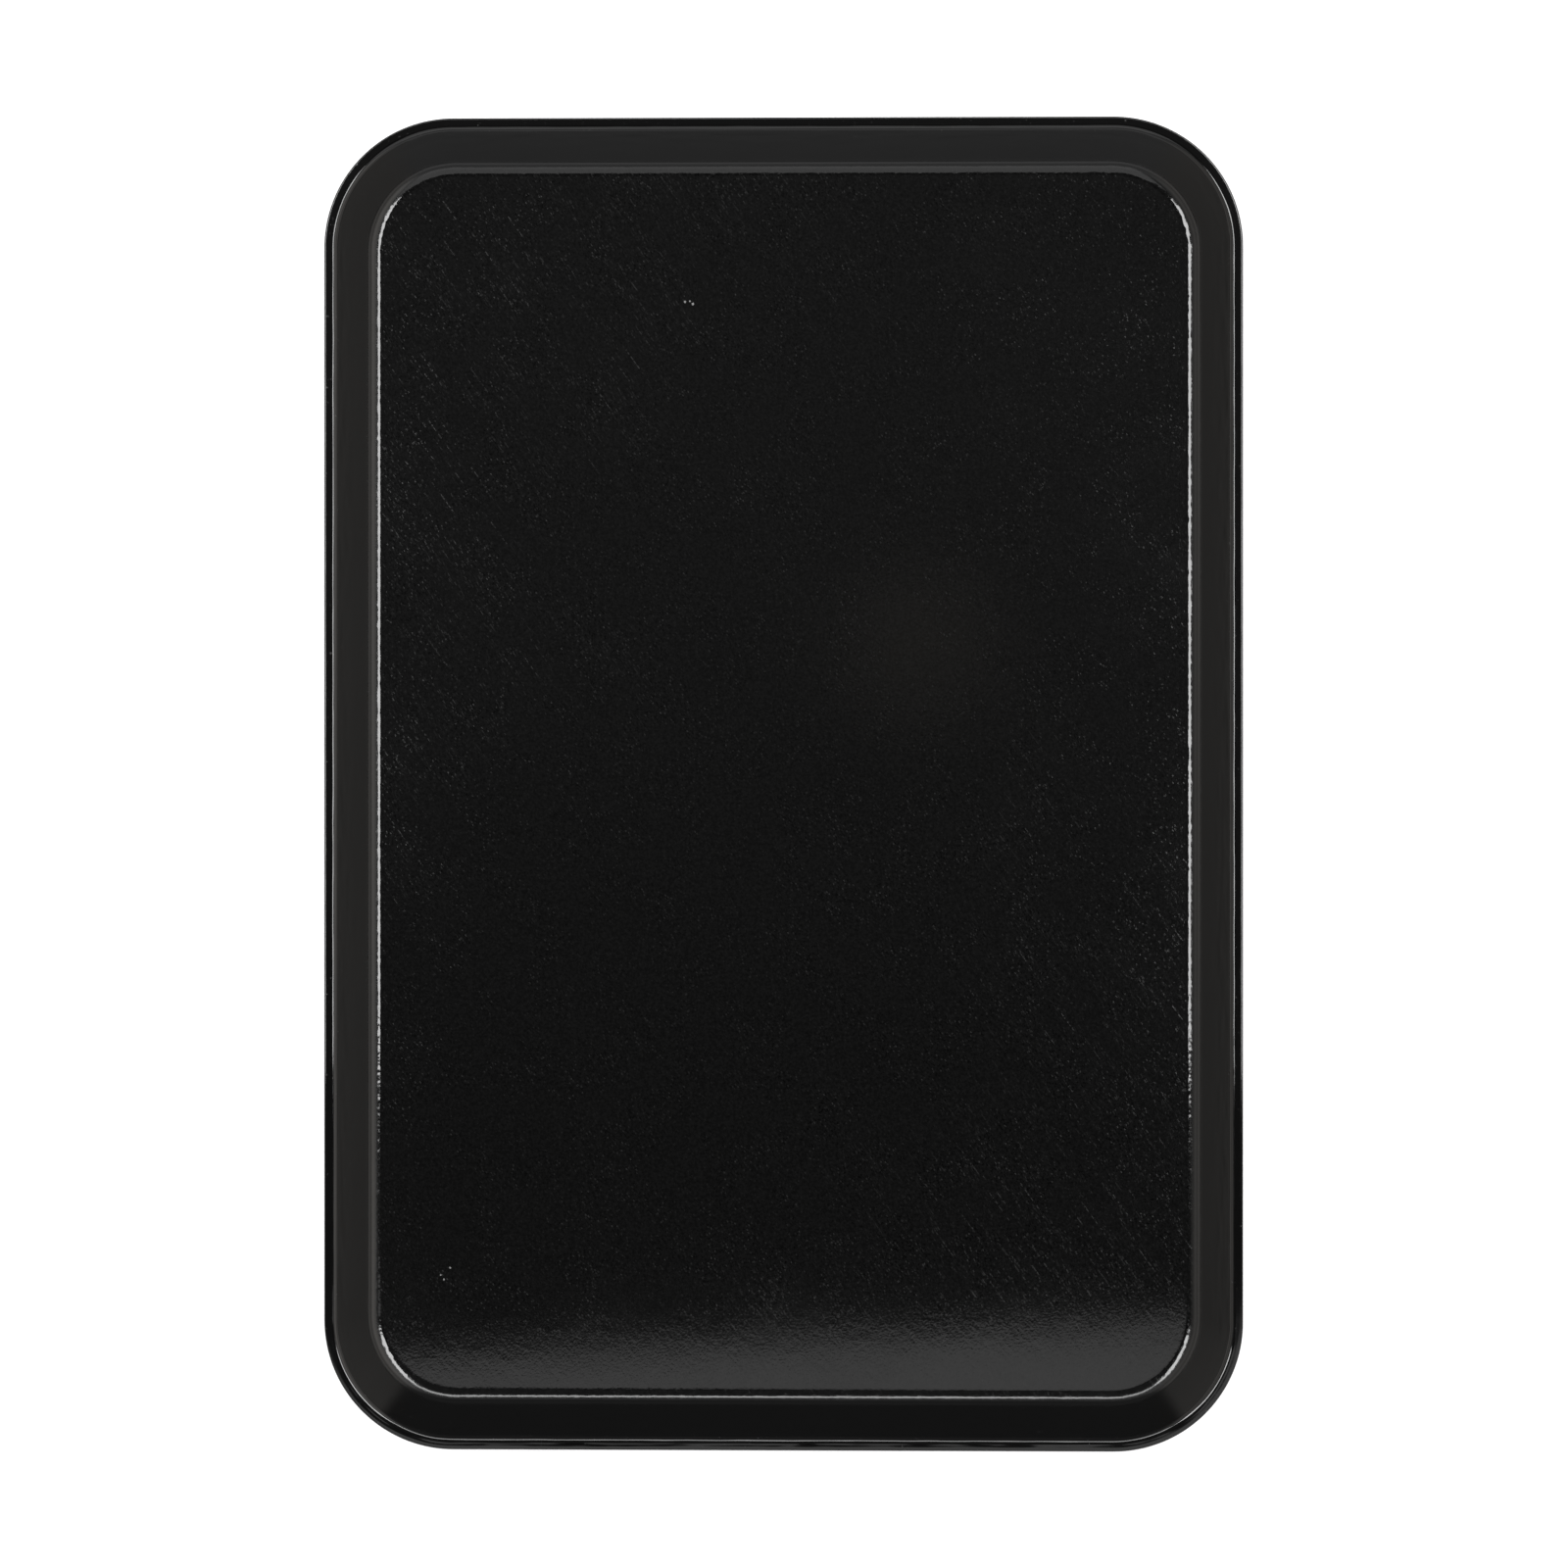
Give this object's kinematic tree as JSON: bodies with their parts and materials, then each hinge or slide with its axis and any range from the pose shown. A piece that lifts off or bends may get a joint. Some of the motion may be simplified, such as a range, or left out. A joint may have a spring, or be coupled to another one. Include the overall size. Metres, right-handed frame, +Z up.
{
  "type": "market tray",
  "caption": "Flat rectangular display tray with rounded corners, a sloped wall and a rod-stiffened rim, moulded in black glass-fibre laminate, for setting out food in a market case.",
  "frame": {"origin": "middle of the flat underside, which is the plane the tray rests on", "axes": "+X across the tray's width, +Y along its length, +Z up out of its open side"},
  "size_m": [0.4508, 0.654, 0.0254],
  "materials": {
    "black_veil": "black pigmented polyester surface, glossy, with a fine pebbled grain on the floor",
    "glass_mat": "chopped-strand glass mat set in dark resin",
    "rim_rod": "drawn, unpolished"
  },
  "bodies": {
    "root": {"show_face_veil": "black_veil", "upper_glass_mat": "glass_mat", "lower_glass_mat": "glass_mat", "back_veil": "black_veil", "rim_rod_front_left": "rim_rod", "rim_rod_front_right": "rim_rod", "rim_rod_back_left": "rim_rod", "rim_rod_back_right": "rim_rod"}
  },
  "joints": []
}
